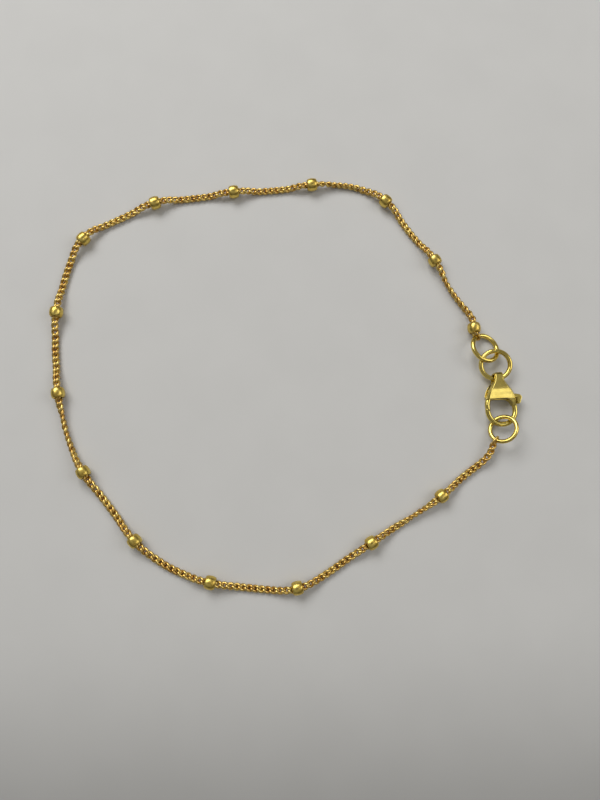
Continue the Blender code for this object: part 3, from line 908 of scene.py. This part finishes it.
def hook_wire():
    """The hook's round wire, from its root in the leg round to the far side."""
    radius = hook_radius()
    root = (radius - HOOK_ROOT_SHIFT, HOOK_ROOT)
    bend = arc((0, 0), radius, 0, -180, HOOK_ARC_STEPS)
    return round_wire("hook_wire", [root, *bend, (-radius, HOOK_ROOT)])


def seam_tool(name, front, back):
    """A block across the slanted seam between hook and gate, between two distances from it."""
    corners = [(-SEAM_REACH, front), (SEAM_REACH, front), (SEAM_REACH, back), (-SEAM_REACH, back)]
    block = plate(name, corners, -CLASP_THICKNESS, CLASP_THICKNESS)
    place = Matrix.Translation((-hook_radius(), SEAM_RISE, 0))
    block.data.transform(place @ Matrix.Rotation(-SEAM_ANGLE, 4, "Z"))
    return block


def make_clasp_body(material):
    body = clasp_head()
    combine(body, eye_tool(), "DIFFERENCE")
    hook = hook_wire()
    combine(hook, seam_tool("hook_trim", -SEAM_GAP / 2, 2 * SEAM_REACH), "DIFFERENCE")
    combine(body, hook, "UNION")
    combine(body, slot_tool(), "DIFFERENCE")
    combine(body, tail_tool(), "DIFFERENCE")
    cast_smooth(body, BODY_VOXEL, BODY_EASING)
    finish_clasp_piece(body, "clasp_body_cast", "clasp_body", "bracelet", material)


def gate_rod():
    """The gate's round end, from the slanted seam with the hook up into the slot."""
    rod = round_wire("gate_rod", GATE_ROD_PATH)
    combine(rod, seam_tool("gate_trim", -2 * SEAM_REACH, SEAM_GAP / 2), "DIFFERENCE")
    return rod


def gate_clearer():
    outline = [
        (GATE_CLEARED_LEFT, GATE_CLEARED_FRONT),
        (GATE_CLEARED_RIGHT, GATE_CLEARED_FRONT),
        (GATE_CLEARED_RIGHT, EYE_HEAD_LENGTH),
        (GATE_CLEARED_LEFT, EYE_HEAD_LENGTH),
    ]
    return plate("gate_clearer", outline, -CLASP_THICKNESS, CLASP_THICKNESS)


def make_lever(material):
    """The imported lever, with its flat gate changed for a round one and all its edges eased."""
    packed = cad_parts["clasp_lever"].data.copy()
    packed.transform(clasp_matrix().inverted())
    lever = bpy.data.objects.new("clasp_lever_cast", packed)
    bpy.context.scene.collection.objects.link(lever)
    combine(lever, gate_clearer(), "DIFFERENCE")
    combine(lever, gate_rod(), "UNION")
    cast_smooth(lever, LEVER_VOXEL, LEVER_EASING)
    finish_clasp_piece(lever, "clasp_lever_cast", "clasp_lever", "lever", material)


def finish_clasp_piece(made, name, node, body, material):
    made.name = name
    made.data.transform(clasp_matrix())
    made.data.materials.clear()
    made.data.materials.append(material)
    made.data.shade_smooth()
    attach(made, body)
    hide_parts(node)


def finish_pivot_pin(material):
    """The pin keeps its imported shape."""
    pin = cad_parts["clasp_pivot_pin"]
    pin.data.materials.clear()
    pin.data.materials.append(material)


# Surroundings


def make_floor():
    corners = [(-1, -1), (1, -1), (1, 1), (-1, 1)]
    verts = [(x * BOARD_HALF, y * BOARD_HALF, -BOARD_DROP) for x, y in corners]
    mesh = bpy.data.meshes.new("floor")
    mesh.from_pydata(verts, [], [(0, 1, 2, 3)])
    floor = add_object("floor", mesh, matt_white_board())


def add_softbox(name, place, size, radiance, colour):
    """A rectangular lamp that faces the bracelet, as bright as a panel of this radiance."""
    light = bpy.data.lights.new(name, "AREA")
    light.shape = "RECTANGLE"
    light.size = size[0]
    light.size_y = size[1]
    light.energy = radiance * math.pi * size[0] * size[1]
    light.color = linear(colour)[:3]
    lamp = bpy.data.objects.new(name, light)
    bpy.context.scene.collection.objects.link(lamp)
    lamp.location = place
    lamp.rotation_euler = (-Vector(place)).to_track_quat("-Z", "Y").to_euler()


def light_the_room():
    """A dim room with a pale ceiling round a dark zenith, and soft lamps above and beyond."""
    world = bpy.data.worlds.new("soft_room")
    bpy.context.scene.world = world
    world.use_nodes = True
    tree = world.node_tree
    place = add_node(tree, "ShaderNodeTexCoord")
    split = add_node(tree, "ShaderNodeSeparateXYZ", None, {"Vector": place.outputs["Generated"]})
    ramp = add_node(tree, "ShaderNodeValToRGB", None, {"Fac": split.outputs["Z"]})
    bands = ramp.color_ramp.elements
    lowest, *between, highest = ROOM_BANDS
    for band, (height, colour) in zip(bands, (lowest, highest)):
        band.position = height
        band.color = linear(colour)
    for height, colour in between:
        bands.new(height).color = linear(colour)
    background = tree.nodes["Background"]
    tree.links.new(ramp.outputs["Color"], background.inputs["Color"])
    background.inputs["Strength"].default_value = 1.0

    for softbox in SOFTBOXES:
        add_softbox(*softbox)


def make_camera():
    """The photo's view: from 83 mm above the surface, a little off the vertical."""
    data = bpy.data.cameras.new("camera")
    data.lens = CAMERA_LENS
    data.sensor_width = CAMERA_SENSOR
    data.clip_start = CAMERA_CLIP_START
    camera = bpy.data.objects.new("camera", data)
    bpy.context.scene.collection.objects.link(camera)
    turn = Matrix.Rotation(CAMERA_LEAN, 4, "Y") @ Matrix.Rotation(CAMERA_TILT, 4, "X")
    camera.matrix_world = Matrix.Translation(CAMERA_PLACE) @ turn
    bpy.context.scene.camera = camera


cast_gold = polished_cast_gold_plate()
wire_gold = drawn_wire_gold_plate()
link_gold = dipped_link_gold_plate()

bpy.context.scene.view_settings.view_transform = "Standard"
make_camera()
light_the_room()
make_floor()
for ring_node in RING_CUT_PLACES:
    make_jump_ring(ring_node, wire_gold)
make_chain(Route(), link_gold)
make_beads(tumbled_bead_gold_plate())
make_clasp_body(cast_gold)
make_lever(cast_gold)
finish_pivot_pin(wire_gold)
